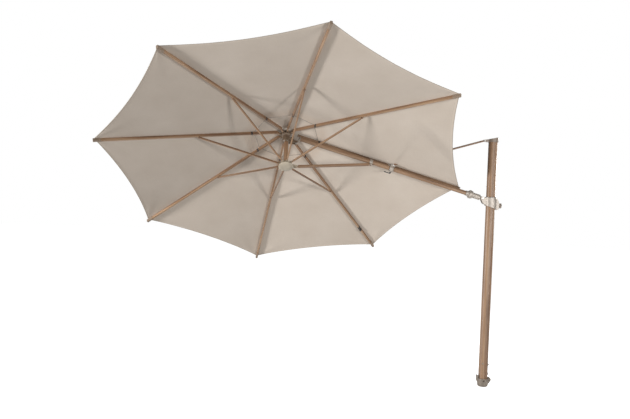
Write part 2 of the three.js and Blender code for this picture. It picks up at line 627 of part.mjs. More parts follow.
// Half a panel, flat, with x along the panel's middle and the rib at +PANEL_ANGLE.
function halfPanel() {
  const chord = RIDGE * Math.cos(PANEL_ANGLE);
  const reach = RIDGE * Math.sin(PANEL_ANGLE);
  const inner = VENT_INNER / Math.cos(SLOPE);
  const points = [[inner * Math.cos(PANEL_ANGLE), 0.4]];
  for (let i = 0; i <= 4; i++) {
    const t = i / 4;
    points.push([chord - SCALLOP * (1 - t * t), Math.max(0.4, reach * t)]);
  }
  points.push([inner * Math.cos(PANEL_ANGLE), inner * Math.sin(PANEL_ANGLE)]);
  const shape = new THREE.Shape(points.map(([x, y]) => new THREE.Vector2(x, y)));
  const sheet = new THREE.ExtrudeGeometry(shape, { depth: CLOTH, bevelEnabled: false });
  return solid(sheet.translate(0, 0, -CLOTH));
}

// Frame of the panel beside a rib in its radial frame. Side +1 has the rib on the panel's +y edge.
function panelFrame(side) {
  const along = (angle) => new THREE.Vector3(
    Math.cos(SLOPE) * Math.cos(angle), Math.cos(SLOPE) * Math.sin(angle), -Math.sin(SLOPE),
  );
  const ribLine = along(0);
  const nextRib = along(-side * SECTOR);
  const middle = ribLine.clone().add(nextRib).normalize();
  const across = ribLine.clone().sub(nextRib).normalize();
  const normal = new THREE.Vector3().crossVectors(middle, across);
  return frameOf(middle, across, normal, new THREE.Vector3(0, 0, CLOTH_TOP / Math.cos(SLOPE)));
}

function canopyPanel() {
  const right = halfPanel().transform(panelFrame(1).elements);
  return right.add(right.mirror([0, 1, 0]));
}

// In the canopy frame: room for the tie rod and the collar's ears beside the rail.
function tieSlit() {
  const toCanopy = new THREE.Matrix4().multiplyMatrices(CANOPY.clone().invert(), CARRIER);
  return block(COLLAR_X - 62, COLLAR_X + 20, -19, 19, 20, 90).transform(toCanopy.elements);
}

function ventCap() {
  const under = (r) => 14.5 - r * Math.tan(VENT_SLOPE);
  const inner = 18;
  const outer = VENT_CAP_RADIUS;
  return turned([
    [inner, under(inner)], [outer, under(outer)], [outer, under(outer) + CLOTH],
    [inner, under(inner) + CLOTH], [inner, under(inner)],
  ], PANELS);
}

// Clip of the storage strap, a saddle under one rib near its tip.
function strapClip() {
  const x = 0.83 * RIB_TIP;
  const under = RIB_PIVOT_DROP - RIB_HEIGHT / 2;
  const saddle = block(x - 12, x + 12, -10, 10, under - 5, under + 20);
  const half = RIB_WIDTH / 2 + GAP;
  const room = block(x - 20, x + 20, -half, half, under - GAP, under + 40);
  const hook = block(x - 5, x + 5, -4, 4, under - 12, under - 4);
  return saddle.add(hook).subtract(room);
}

// ---------------------------------------------------------------- assembly
add('foot_socket', CAST, WORLD, footSocket());
add('foot_bush', BLACK_PLASTIC, WORLD, footBush());
add('foot_spindle', STEEL, WORLD, footSpindle());
add('foot_clamp_screw', STEEL, WORLD, footScrew());

add('mast_tube', WOOD_LOOK, WORLD, mastTube());
add('mast_insert', CAST, WORLD, mastInsert());
add('mast_bolt_lower', STEEL, WORLD, mastBolt(MAST_BOLTS[0]));
add('mast_bolt_upper', STEEL, WORLD, mastBolt(MAST_BOLTS[1]));
add('mast_plug', GREY_PLASTIC, WORLD, mastPlug());
add('mast_cap', GREY_PLASTIC, WORLD, mastCap());
add('tie_top_pin', STEEL, WORLD, crossPin(PIVOT_X, TIE_TOP.z, 4, 14, 6.5));

add('tie_rod', WOOD_LOOK, TIE, tieRod());

add('hinge_block', SATIN, CARRIER, hingeBlock());
add('tilt_collar', SATIN, CARRIER, tiltCollar());
add('collar_bush', BLACK_PLASTIC, CARRIER, collarBush());
add('collar_pin', STEEL, CARRIER, crossPin(COLLAR_X, COLLAR_PIN, 4, 12.6, 6.5));
add('tilt_lever', BLACK_PLASTIC, CARRIER, tiltLever());

add('carriage', SATIN, WORLD, carriage());
add('carriage_liner', BLACK_PLASTIC, WORLD, carriageLiner());
add('hinge_bolt', STEEL, WORLD, crossPin(PIVOT_X, HINGE_Z, 6, 28, 10));
add('clamp_knob', GREY_PLASTIC, WORLD, clampKnob());
add('clamp_stud', STEEL, WORLD, clampStud());

add('boom_flange', SATIN, BOOM, boomFlange());
add('boom_tube', WOOD_LOOK, BOOM, boomTube());
add('boom_end_clevis', SATIN, BOOM, boomEndClevis());
add('strut_bracket', SATIN, BOOM, strutBracket());
add('rail_inner', WOOD_LOOK_DARK, BOOM, railPiece(COLLAR_X + RAIL_GAP, RAIL_END));
add('rail_outer', WOOD_LOOK_DARK, BOOM, railPiece(RAIL_TIP, COLLAR_X - RAIL_GAP));
add('rail_tip', GREY_PLASTIC, BOOM, railTip());

add('crown_hub', HUB_PLASTIC, CANOPY, crownHub());
add('canopy_pole', WOOD_LOOK, CANOPY, canopyPole());
add('finial', HUB_PLASTIC, CANOPY, finial());
add('runner_hub', HUB_PLASTIC, CANOPY, runnerHub());
add('runner_cover', HUB_PLASTIC, CANOPY, runnerCover());
add('boom_strut', WOOD_LOOK, BOOM_STRUT, boomStrut());

for (const i of otherRibs) {
  add(`rib_${i}`, WOOD_LOOK, ribFrame(i), rib());
  add(`strut_${i}`, WOOD_LOOK, strutFrame(i), strut());
}
add('strap_clip', BLACK_PLASTIC, ribFrame(PANELS - 1), strapClip());

add('canopy_panel_0', CLOTH_FINISH, CANOPY, canopyPanel().subtract(tieSlit()));
for (const i of otherRibs) {
  add(`canopy_panel_${i}`, CLOTH_FINISH, radial(i), canopyPanel());
}
add('vent_cap', CLOTH_FINISH, CANOPY, ventCap());

export default parasol;
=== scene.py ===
"""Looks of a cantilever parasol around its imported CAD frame. Metres, +Z up, row frame."""
import json
import math

import bmesh
import bpy
import numpy as np
from mathutils import Matrix, Vector
from mathutils.noise import noise as perlin


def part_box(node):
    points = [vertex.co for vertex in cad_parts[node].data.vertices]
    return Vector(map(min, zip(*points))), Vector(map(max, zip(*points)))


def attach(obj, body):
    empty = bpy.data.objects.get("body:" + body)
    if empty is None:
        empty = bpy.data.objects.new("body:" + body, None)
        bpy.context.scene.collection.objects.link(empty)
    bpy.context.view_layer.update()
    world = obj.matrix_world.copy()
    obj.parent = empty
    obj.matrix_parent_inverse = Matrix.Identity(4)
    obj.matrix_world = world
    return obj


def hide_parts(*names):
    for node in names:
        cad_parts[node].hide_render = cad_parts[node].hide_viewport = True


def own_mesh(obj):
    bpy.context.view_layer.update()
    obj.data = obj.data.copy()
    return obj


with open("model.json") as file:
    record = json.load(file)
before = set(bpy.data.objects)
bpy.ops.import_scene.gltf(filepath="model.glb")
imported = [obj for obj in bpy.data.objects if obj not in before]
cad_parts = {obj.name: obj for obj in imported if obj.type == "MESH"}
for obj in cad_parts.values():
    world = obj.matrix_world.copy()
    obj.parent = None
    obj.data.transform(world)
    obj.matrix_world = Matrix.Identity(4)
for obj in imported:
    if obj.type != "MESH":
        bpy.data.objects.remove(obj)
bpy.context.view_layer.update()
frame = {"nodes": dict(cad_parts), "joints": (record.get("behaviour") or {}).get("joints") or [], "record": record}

# ---------------------------------------------------------------- driving dimensions
PANELS = 8
SECTOR = math.radians(360 / PANELS)
SLOPE = math.radians(13.3)
CANOPY_RADIUS = 1.750            # rib tips, square to the pole
CLOTH_HEIGHT = 0.0170            # cloth above the ribs' centre lines
SCALLOP = 0.058                  # how far the hem curves in between two rib tips
VENT_INNER = 0.320
VENT_CAP_RADIUS = 0.440
RIB_DROP = 0.022                 # from a rib's centre line down to its pivots
RIB_WIDTH = 0.015
RIB_HEIGHT = 0.028
PANEL_SAG = 0.010
HEM_BAND = 0.030                 # turned and stitched hem
SEAM_BAND = 0.020                # half width of the doubled cloth over a rib
PIPING = 0.0022                  # radius of the hem's piping
WEAVE_PITCH = 0.0011

TIP_PULL = 0.0030                # height of the creases that fan out from a rib tip
TIP_PULL_REACH = 0.30
TIP_PULL_START = 0.05
CLOTH_WAVE = 0.0012              # height of the small waves between the ribs

VENT_TOP = 0.0160                # vent cap's height at the pole
VENT_SLOPE = math.radians(12)
VENT_CAP_INNER = 0.020           # radius of the hole at the finial
VENT_CAP_SCALLOP = 0.012
VENT_CAP_PUFF = 0.004            # how far the cap bulges between two ribs
VENT_HEM = 0.004
VENT_TAPE_WIDTH = 0.008
VENT_TAPE_THICKNESS = 0.0016
PATCH_WIDTH = 0.075              # from the hole to the patch's edge
PATCH_LIFT = 0.0022              # over the vent cap

RAIL_TALL = 0.022
RAIL_HEIGHT_OVER_BOOM = 0.0325
STOP_SCREW_HEIGHT = 1.98

CLIP_LENGTH = 0.016              # vent clips, along the rib
CLIP_THICKNESS = 0.0018
CLIP_FIT = 0.0004                # between a clip and its rib
CLIP_FROM_VENT = 0.012
STRAP_LENGTH = 0.025             # wound strap, along the rib
STRAP_THICKNESS = 0.0026
STRAP_FIT = 0.0006
STRAP_FROM_CLIP = 0.030
POCKET_EXTRA_WIDTH = 0.007       # tip pocket, more than its rib
POCKET_EXTRA_HEIGHT = 0.0035
POCKET_LIFT = 0.0005
BAND_POWER = 5.0                 # 2 is an ellipse, and more is squarer
PLAIN_EDGE = 0.0012              # width of a rounded edge, where EDGE names no other

SLIT_MIDDLE = 0.013              # tie rod's slit, from the collar's pin towards the mast
SLIT_HALF_X = 0.012
SLIT_HALF_Y = 0.036

JOINTS = {joint["name"]: joint for joint in frame["joints"]}


def pivot(name):
    return Vector(JOINTS[name]["pos_m"])


def axis(name):
    return Vector(JOINTS[name]["axis"]).normalized()


def frame_of(x, y, z, origin):
    made = Matrix((x, y, z)).transposed().to_4x4()
    made.translation = origin
    return made


def turn_y(angle):
    return Matrix.Rotation(angle, 4, "Y")


def turn_z(angle):
    return Matrix.Rotation(angle, 4, "Z")


# ---------------------------------------------------------------- frames, from the joints
HUB = (pivot("rib_2_pivot") + pivot("rib_6_pivot")) / 2
HUB_PIVOT = (pivot("rib_2_pivot") - HUB).length
OUT_0 = (HUB - pivot("rib_4_pivot")).normalized()
OUT_2 = (pivot("rib_2_pivot") - HUB).normalized()
POLE_UP = OUT_2.cross(OUT_0).normalized()
CROWN_DROP = RIB_DROP / math.cos(SLOPE) + HUB_PIVOT * math.tan(SLOPE)
CANOPY = frame_of(OUT_0, POLE_UP.cross(OUT_0), POLE_UP, HUB + CROWN_DROP * POLE_UP)
RADIAL = [CANOPY @ turn_z(-SECTOR * i) for i in range(PANELS)]
RIB = [
    radial @ Matrix.Translation((HUB_PIVOT, 0, -CROWN_DROP)) @ turn_y(SLOPE) for radial in RADIAL
]
RIB_BODY = ["boom"] + [f"rib_{i}" for i in range(1, PANELS)]

HINGE = pivot("carriage_pivot")
BOOM_OUT = axis("canopy_roll")
CARRIER_SIDE = axis("collar_pivot")
CARRIER = frame_of(BOOM_OUT, CARRIER_SIDE, BOOM_OUT.cross(CARRIER_SIDE), HINGE)
BOOM_SIDE = axis("canopy_fold")
BOOM = frame_of(BOOM_OUT, BOOM_SIDE, BOOM_OUT.cross(BOOM_SIDE), HINGE)
COLLAR_X = (CARRIER.inverted() @ pivot("collar_pivot")).x

# ---------------------------------------------------------------- camera
CAMERA_PLACE = (-2.158, -6.694, 1.679)
CAMERA_YAW = 3.545               # degrees, clockwise from +Y seen from above
CAMERA_ROLL = 2.552              # degrees
CAMERA_LENS = 39.17              # millimetres, on a sensor 36 wide


def make_camera():
    data = bpy.data.cameras.new("camera")
    data.sensor_width = 36
    data.lens = CAMERA_LENS
    data.clip_end = 200
    camera = bpy.data.objects.new("camera", data)
    yaw = Matrix.Rotation(math.radians(-CAMERA_YAW), 4, "Z")
    level = Matrix.Rotation(math.radians(90), 4, "X")
    roll = Matrix.Rotation(math.radians(CAMERA_ROLL), 4, "Z")
    camera.matrix_world = Matrix.Translation(CAMERA_PLACE) @ yaw @ level @ roll
    bpy.context.collection.objects.link(camera)
    bpy.context.scene.camera = camera


# ---------------------------------------------------------------- materials
class Graph:
    """A material's node tree, built a node at a time."""

    def __init__(self, name):
        self.material = bpy.data.materials.new(name)
        self.material.use_nodes = True
        self.tree = self.material.node_tree
        self.shader = self.tree.nodes["Principled BSDF"]
        self.output = self.tree.nodes["Material Output"]

    def add(self, kind, settings=None, **inputs):
        node = self.tree.nodes.new(kind)
        for key, value in (settings or {}).items():
            setattr(node, key, value)
        for key, value in inputs.items():
            self.put(node.inputs[key.replace("_", " ")], value)
        return node

    def put(self, socket, value):
        if isinstance(value, bpy.types.NodeSocket):
            self.tree.links.new(value, socket)
        else:
            socket.default_value = value

    def rest(self):
        """Place of a point at rest, with x along the piece where the piece has a length."""
        return self.add("ShaderNodeAttribute", {"attribute_name": "grain"}).outputs["Vector"]

    def scaled(self, x, y, z):
        node = self.add("ShaderNodeMapping", Vector=self.rest(), Scale=(x, y, z))
        return node.outputs["Vector"]

    def noise(self, vector, scale, detail, rough):
        settings = {"Vector": vector, "Scale": scale, "Detail": detail, "Roughness": rough}
        return self.add("ShaderNodeTexNoise", **settings).outputs["Fac"]

    def math(self, operation, a, b=0.0):
        node = self.add("ShaderNodeMath", {"operation": operation})
        self.put(node.inputs[0], a)
        self.put(node.inputs[1], b)
        return node.outputs[0]

    def span(self, value, low, high, to_low, to_high):
        node = self.add("ShaderNodeMapRange", Value=value)
        numbers = {"From Min": low, "From Max": high, "To Min": to_low, "To Max": to_high}
        for key, number in numbers.items():
            node.inputs[key].default_value = number
        return node.outputs["Result"]

    def ramp(self, value, stops):
        node = self.add("ShaderNodeValToRGB", Fac=value)
        elements = node.color_ramp.elements
        while len(elements) < len(stops):
            elements.new(0.5)
        for element, (place, colour) in zip(elements, stops):
            element.position = place
            element.color = (*colour, 1)
        return node.outputs["Color"]

    def mix(self, share, a, b):
        node = self.add("ShaderNodeMix", {"data_type": "RGBA", "blend_type": "MIX"})
        self.put(node.inputs[0], share)
        self.put(node.inputs[6], a if isinstance(a, bpy.types.NodeSocket) else (*a, 1))
        self.put(node.inputs[7], b if isinstance(b, bpy.types.NodeSocket) else (*b, 1))
        return node.outputs[2]

    def bump(self, height, distance, strength):
        node = self.add("ShaderNodeBump", Height=height, Strength=strength, Distance=distance)
        self.put(self.shader.inputs["Normal"], node.outputs["Normal"])
        return node.outputs["Normal"]

    def set(self, **sockets):
        for key, value in sockets.items():
            self.put(self.shader.inputs[key.replace("_", " ")], value)


def srgb(red, green, blue):
    def linear(value):
        share = value / 255
        return share / 12.92 if share <= 0.04045 else ((share + 0.055) / 1.055) ** 2.4

    return tuple(linear(value) for value in (red, green, blue))


def wood_look(name, shade):
    """Aluminium with a printed wood-grain coating, its grain along the piece."""
    g = Graph(name)
    broad = g.noise(g.scaled(1.1, 26, 26), 1.0, 5.0, 0.6)
    fine = g.noise(g.scaled(5.0, 190, 190), 1.0, 5.0, 0.65)
    streak = g.noise(g.scaled(2.2, 75, 75), 1.0, 3.0, 0.5)
    dark, middle, light, pore, pale = (tuple(c * shade for c in srgb(*rgb)) for rgb in (
        (94, 69, 50), (135, 104, 78), (164, 133, 105), (84, 62, 45), (178, 152, 126),
    ))
    colour = g.ramp(broad, [(0.32, dark), (0.5, middle), (0.70, light)])
    colour = g.mix(g.span(fine, 0.52, 0.74, 0.0, 0.5), colour, pore)
    colour = g.mix(g.span(streak, 0.5, 0.72, 0.0, 0.35), colour, pale)
    g.set(Base_Color=colour, Roughness=g.span(fine, 0.2, 0.8, 0.36, 0.56), Metallic=0.0)
    g.set(Specular_IOR_Level=0.4, Coat_Weight=0.05, Coat_Roughness=0.3)
    g.bump(g.math("ADD", fine, g.math("MULTIPLY", streak, 0.6)), 0.0003, 0.25)
    return g.material


def cast_metal(name, light, dark, roughness, metallic):
    """Blasted and lacquered casting: fine grain and faint darker clouds, spread at random."""
    g = Graph(name)
    cloud = g.noise(g.scaled(1, 1, 1), 22.0, 4.0, 0.6)
    grain = g.noise(g.scaled(1, 1, 1), 900.0, 2.0, 0.6)
    colour = g.ramp(cloud, [(0.3, dark), (0.68, light)])
    speck = g.span(grain, 0.6, 0.8, 0.0, 0.25)
    g.set(Base_Color=g.mix(speck, colour, dark), Metallic=metallic)
    g.set(Roughness=g.span(cloud, 0.25, 0.75, roughness - 0.06, roughness + 0.08))
    g.bump(grain, 0.00025, 0.35)
    return g.material


def steel(name):
    """Turned stainless steel with fine marks round it."""
    g = Graph(name)
    marks = g.noise(g.scaled(700, 40, 40), 1.0, 3.0, 0.6)
    colour = g.ramp(marks, [(0.3, srgb(118, 115, 112)), (0.7, srgb(168, 165, 161))])
    g.set(Base_Color=colour, Metallic=0.95, Roughness=g.span(marks, 0.2, 0.8, 0.2, 0.36))
    g.bump(marks, 0.0001, 0.3)
    return g.material


def plastic(name, light, dark, roughness):
    """Moulded plastic with a fine spark-eroded texture."""
    g = Graph(name)
    cloud = g.noise(g.scaled(1, 1, 1), 14.0, 3.0, 0.5)
    texture = g.noise(g.scaled(1, 1, 1), 1400.0, 2.0, 0.5)
    g.set(Base_Color=g.ramp(cloud, [(0.3, dark), (0.7, light)]))
    g.set(Roughness=g.span(cloud, 0.25, 0.75, roughness - 0.05, roughness + 0.07))
    g.bump(texture, 0.0002, 0.3)
    return g.material


def cloth(name, light, dark, through):
    """Woven solution-dyed cloth, doubled at the hem and over the ribs, that lets some light through."""
    g = Graph(name)
    rest = g.rest()
    parts = g.add("ShaderNodeSeparateXYZ", Vector=rest)
    along, across = parts.outputs["X"], parts.outputs["Y"]
    thread = 2 * math.pi / WEAVE_PITCH
    warp = g.math("SINE", g.math("MULTIPLY", along, thread))
    weft = g.math("SINE", g.math("MULTIPLY", across, thread))
    weave = g.math("MULTIPLY", warp, weft)
    slub_along = g.noise(g.scaled(6, 700, 1), 1.0, 3.0, 0.6)
    slub_across = g.noise(g.scaled(700, 6, 1), 1.0, 3.0, 0.6)
    slub = g.math("ADD", slub_along, slub_across)
    cloud = g.noise(g.scaled(1, 1, 1), 2.3, 5.0, 0.6)
    colour = g.ramp(cloud, [(0.28, dark), (0.72, light)])
    colour = g.mix(g.span(slub, 0.85, 1.25, 0.0, 0.22), colour, tuple(c * 0.8 for c in dark))
    hem = g.add("ShaderNodeAttribute", {"attribute_name": "hem"}).outputs["Fac"]
    rib = g.add("ShaderNodeAttribute", {"attribute_name": "rib"}).outputs["Fac"]
    doubled_hem = g.span(hem, HEM_BAND - 0.002, HEM_BAND + 0.002, 1.0, 0.0)
    doubled_rib = g.span(rib, SEAM_BAND - 0.002, SEAM_BAND + 0.002, 1.0, 0.0)
    doubled = g.math("MAXIMUM", doubled_hem, doubled_rib)
    stitch_line = g.math("MAXIMUM", near(g, hem, HEM_BAND - 0.005), near(g, rib, SEAM_BAND - 0.004))
    colour = g.mix(g.math("MULTIPLY", doubled, 0.10), colour, dark)
    colour = g.mix(g.math("MULTIPLY", stitch_line, 0.35), colour, tuple(c * 0.62 for c in dark))
    g.set(Base_Color=colour, Roughness=0.92, Sheen_Weight=0.15, Sheen_Roughness=0.5)
    g.set(Specular_IOR_Level=0.2)
    height = g.math("ADD", weave, g.math("MULTIPLY", slub, 0.8))
    height = g.math("SUBTRACT", height, g.math("MULTIPLY", stitch_line, 3.0))
    height = g.math("ADD", height, g.math("MULTIPLY", doubled, 2.5))
    normal = g.bump(height, 0.00012, 0.5)
    glow = g.add("ShaderNodeBsdfTranslucent", Color=colour, Normal=normal)
    blend = g.add("ShaderNodeMixShader")
    g.put(blend.inputs[0], g.span(doubled, 0.0, 1.0, through, through * 0.6))
    g.put(blend.inputs[1], g.shader.outputs[0])
    g.put(blend.inputs[2], glow.outputs[0])
    g.put(g.output.inputs["Surface"], blend.outputs[0])
    return g.material


def near(g, distance, line):
    """1 within a stitch's width of a line, and 0 past it."""
    offset = g.math("ABSOLUTE", g.math("SUBTRACT", distance, line))
    return g.span(offset, 0.0008, 0.0020, 1.0, 0.0)


def webbing(name, light, dark):
    """Coarse ribbed tape."""
    g = Graph(name)
    parts = g.add("ShaderNodeSeparateXYZ", Vector=g.rest())
    ribs = g.math("SINE", g.math("MULTIPLY", parts.outputs["X"], 2 * math.pi / 0.0016))
    fuzz = g.noise(g.scaled(1, 1, 1), 300.0, 3.0, 0.6)
    g.set(Base_Color=g.ramp(fuzz, [(0.3, dark), (0.7, light)]), Roughness=0.9, Sheen_Weight=0.2)
    g.bump(g.math("ADD", ribs, fuzz), 0.0002, 0.5)
    return g.material


WOOD = wood_look("wood_look", 1.0)
WOOD_DARK = wood_look("wood_look_dark", 0.68)
SATIN = cast_metal("satin_silver", srgb(172, 163, 153), srgb(147, 138, 128), 0.46, 0.30)
CAST = cast_metal("cast_metal", srgb(134, 123, 111), srgb(102, 92, 82), 0.55, 0.25)
STEEL = steel("bright_steel")
HUB_PLASTIC = plastic("hub_plastic", srgb(182, 171, 152), srgb(156, 145, 127), 0.42)
HUB_DARK = plastic("hub_plastic_dark", srgb(112, 94, 76), srgb(88, 72, 57), 0.38)
BLACK = plastic("black_plastic", srgb(34, 32, 31), srgb(22, 21, 20), 0.4)
GREY = plastic("grey_plastic", srgb(150, 135, 121), srgb(126, 112, 99), 0.45)
CLOTH = cloth("canopy_cloth", srgb(218, 205, 191), srgb(208, 194, 179), 0.30)
BINDING = webbing("binding", srgb(176, 164, 148), srgb(146, 134, 119))
STRAP = webbing("strap_webbing", srgb(52, 46, 42), srgb(34, 30, 28))
VENT_TAPE = webbing("vent_tape", srgb(168, 156, 143), srgb(140, 129, 117))
POCKET = webbing("pocket_webbing", srgb(150, 130, 110), srgb(120, 102, 86))
SHADES = {
    "wood_look": WOOD,
    "wood_look_dark": WOOD_DARK,
    "satin_silver": SATIN,
    "cast_metal": CAST,
    "bright_steel": STEEL,
    "hub_plastic": HUB_PLASTIC,
    "black_plastic": BLACK,
    "grey_plastic": GREY,
}


# ---------------------------------------------------------------- meshes
def make_mesh(name, points, faces, material):
    mesh = bpy.data.meshes.new(name)
    mesh.from_pydata([tuple(p) for p in points], [], faces)
    mesh.update()
    for polygon in mesh.polygons:
        polygon.use_smooth = True
    mesh.materials.append(material)
    made = bpy.data.objects.new(name, mesh)
    bpy.context.collection.objects.link(made)
    return made


def store_places(piece, places):
    """Keeps the place of each vertex in its material, as the attribute that Graph.rest reads."""
    layer = piece.data.attributes.new("grain", "FLOAT_VECTOR", "POINT")
    layer.data.foreach_set("vector", np.array(places, np.float32).ravel())


def store_grain(piece, to_row):
    """Keeps each vertex's place in the piece's own frame, whose x runs along the grain."""
    inverse = np.array(to_row.inverted())
    count = len(piece.data.vertices)
    places = np.empty(count * 3, np.float32)
    piece.data.vertices.foreach_get("co", places)
    local = places.reshape(-1, 3) @ inverse[:3, :3].T + inverse[:3, 3]
    store_places(piece, local)


def store_number(piece, name, values):
    layer = piece.data.attributes.new(name, "FLOAT", "POINT")
    layer.data.foreach_set("value", np.array(values, np.float32))


def grid_faces(rows, columns, closed=False):
    """Faces of a grid whose points run row by row; closed joins its last column to its first."""
    faces = []
    for r in range(rows - 1):
        for c in range(columns if closed else columns - 1):
            d = (c + 1) % columns
            here, above = r * columns, (r + 1) * columns
            faces.append((here + c, here + d, above + d, above + c))
    return faces


def sweep(path, width, height, sides, power, up):
    """Rings of a rounded section carried along a path, with closed ends: points and faces."""
    rings = []
    last = len(path) - 1
    for i, point in enumerate(path):
        ahead = (path[min(i + 1, last)] - path[max(i - 1, 0)]).normalized()
        side = ahead.cross(up.normalized()).normalized()
        top = side.cross(ahead)
        for k in range(sides):
            angle = 2 * math.pi * k / sides
            c, s = math.cos(angle), math.sin(angle)
            x = math.copysign(abs(c) ** (2 / power), c) * width / 2
            y = math.copysign(abs(s) ** (2 / power), s) * height / 2
            rings.append(point + side * x + top * y)
    faces = grid_faces(len(path), sides, closed=True)
    faces.append(tuple(reversed(range(sides))))
    faces.append(tuple(range(last * sides, (last + 1) * sides)))
    return rings, faces


def lathe(profile, sides, to_row):
    """A closed turned body about z: the profile lists (radius, z) from end to end, off the axis."""
    points = []
    for radius, z in profile:
        for k in range(sides):
            angle = 2 * math.pi * k / sides
            points.append(to_row @ Vector((radius * math.cos(angle), radius * math.sin(angle), z)))
    faces = [tuple(reversed(face)) for face in grid_faces(len(profile), sides, closed=True)]
    faces.append(tuple(range(sides)))
    faces.append(tuple(reversed(range((len(profile) - 1) * sides, len(profile) * sides))))
    return points, faces


def soften(piece, width):
    """Rounds a piece's sharp edges and keeps its flat faces flat to the eye."""
    weld = piece.modifiers.new("weld", "WELD")
    weld.merge_threshold = 0.00002
    bevel = piece.modifiers.new("bevel", "BEVEL")
    bevel.limit_method = "ANGLE"
    bevel.angle_limit = math.radians(32)
    bevel.width = width
    bevel.segments = 2
    bevel.use_clamp_overlap = True
    normal = piece.modifiers.new("normals", "WEIGHTED_NORMAL")
    normal.keep_sharp = False
    normal.weight = 80
    for polygon in piece.data.polygons:
        polygon.use_smooth = True
    for name in ("custom_normal", "sharp_face", "sharp_edge"):
        layer = piece.data.attributes.get(name)
        if layer is not None:
            piece.data.attributes.remove(layer)


# ---------------------------------------------------------------- CAD pieces: finish and grain
MAST_UP = frame_of(Vector((0, 0, 1)), Vector((0, 1, 0)), Vector((-1, 0, 0)), Vector((0, 0, 0)))
POLE = CANOPY @ turn_y(math.radians(-90))


def strut_frame(index):
    """A strut's own frame, x along it: from its upper pivot to the runner."""
    upper = pivot(f"strut_{index}_pivot")
    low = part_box("runner_hub")
    runner = (Vector(low[0]) + Vector(low[1])) / 2
    out = (runner - upper).normalized()
    side = out.cross(POLE_UP).normalized()
    return frame_of(out, side, out.cross(side), upper)


def tie_frame():
    top = pivot("boom_lift")
    out = (pivot("collar_pivot") - top).normalized()
    side = Vector((0, -1, 0))
    return frame_of(out, side, out.cross(side), top)


def grain_frame(name):
    if name.startswith("rib_"):
        return RIB[int(name[4:])]
    if name.startswith("strut_") and name != "strut_bracket":
        return strut_frame(int(name[6:]))
    if name == "boom_strut":
        top = pivot("boom_strut_pivot")
        out = (pivot("runner_pivot") - top).normalized()
        side = out.cross(POLE_UP).normalized()
        return frame_of(out, side, out.cross(side), top)
    if name in ("boom_tube", "rail_inner", "rail_outer", "boom_flange", "hinge_block"):
        return BOOM
    if name == "mast_tube":
        return MAST_UP
    if name == "canopy_pole":
        return POLE
    if name == "tie_rod":
        return tie_frame()
    return Matrix.Identity(4)


SOFT_NODES = [f"canopy_panel_{i}" for i in range(PANELS)] + ["vent_cap"]
EDGE = {
    "mast_tube": 0.0008, "carriage": 0.0035, "foot_socket": 0.0025, "mast_cap": 0.0030,
    "hinge_block": 0.0020, "boom_flange": 0.0020, "crown_hub": 0.0018, "runner_hub": 0.0018,
}
OWN_SHADE = {"crown_hub": HUB_DARK}
SLOT_OF = {part["node"]: part["material_slot"] for part in frame["record"]["subparts"]}


def finish_cad_nodes():
    for name, node in frame["nodes"].items():
        if name in SOFT_NODES:
            continue
        store_grain(node, grain_frame(name))
        node.data.materials.clear()
        node.data.materials.append(OWN_SHADE.get(name, SHADES[SLOT_OF[name]]))
        for polygon in node.data.polygons:
            polygon.material_index = 0
        soften(node, EDGE.get(name, PLAIN_EDGE))


# ---------------------------------------------------------------- canopy
RIDGE = CANOPY_RADIUS / math.cos(SLOPE)
PANEL_ANGLE = math.acos(math.cos(SLOPE) ** 2 * math.cos(SECTOR) + math.sin(SLOPE) ** 2) / 2
CHORD = RIDGE * math.cos(PANEL_ANGLE)
REACH = RIDGE * math.sin(PANEL_ANGLE)


def panel_frame(side):
    """Panel beside a rib in its radial frame: x along the panel's middle, y towards the rib."""
    def along(angle):
        c = math.cos(SLOPE)
        return Vector((c * math.cos(angle), c * math.sin(angle), -math.sin(SLOPE)))

    rib_line = along(0)
    next_rib = along(-side * SECTOR)
    middle = (rib_line + next_rib).normalized()
    across = (rib_line - next_rib).normalized()
    up = middle.cross(across) * side
    return frame_of(middle, across, up, Vector((0, 0, CLOTH_HEIGHT / math.cos(SLOPE))))


PANEL = {side: panel_frame(side) for side in (1, -1)}


def hem_distance(angle):
    """Distance from the apex to the hem in the panel's plane, at an angle from its middle."""
    bend = SCALLOP * (math.tan(angle) / REACH) ** 2
    foot = CHORD - SCALLOP
    x = foot if bend < 1e-9 else (1 - math.sqrt(1 - 4 * bend * foot)) / (2 * bend)
    return x / math.cos(angle)


def sag(x, y):
    """Height of the cloth over the flat panel, for a point with the rib at y = x tan(PANEL_ANGLE)."""
    share = min(1.0, y / (x * math.tan(PANEL_ANGLE)))
    hang = -PANEL_SAG * (x / CHORD) ** 1.3 * math.cos(math.pi / 2 * share)
    from_tip = math.hypot(CHORD - x, REACH - y)
    heading = math.atan2(CHORD - x, REACH - y)
    fade = (1 - share ** 10) * math.exp(-from_tip / TIP_PULL_REACH)
    fade *= 1 - math.exp(-(from_tip / TIP_PULL_START) ** 2)
    pull = TIP_PULL * fade * math.sin(9.5 * heading + 0.7)
    ripple = perlin((x * 3.1, y * 5.3, 0.4))
    wave = CLOTH_WAVE * (1 - share ** 6) * math.sin(math.pi * share) * ripple
    return hang + pull + wave


def half_panel(inner, columns, rows):
    """Grid of half a panel in its plane, from its middle to the rib: (x, y, distance to hem)."""
    grid = []
    for r in range(rows + 1):
        for c in range(columns + 1):
            angle = PANEL_ANGLE * c / columns
            hem, start = hem_distance(angle), inner / math.cos(angle)
            distance = start + (hem - start) * r / rows
            grid.append((distance * math.cos(angle), distance * math.sin(angle), hem - distance))
    return grid


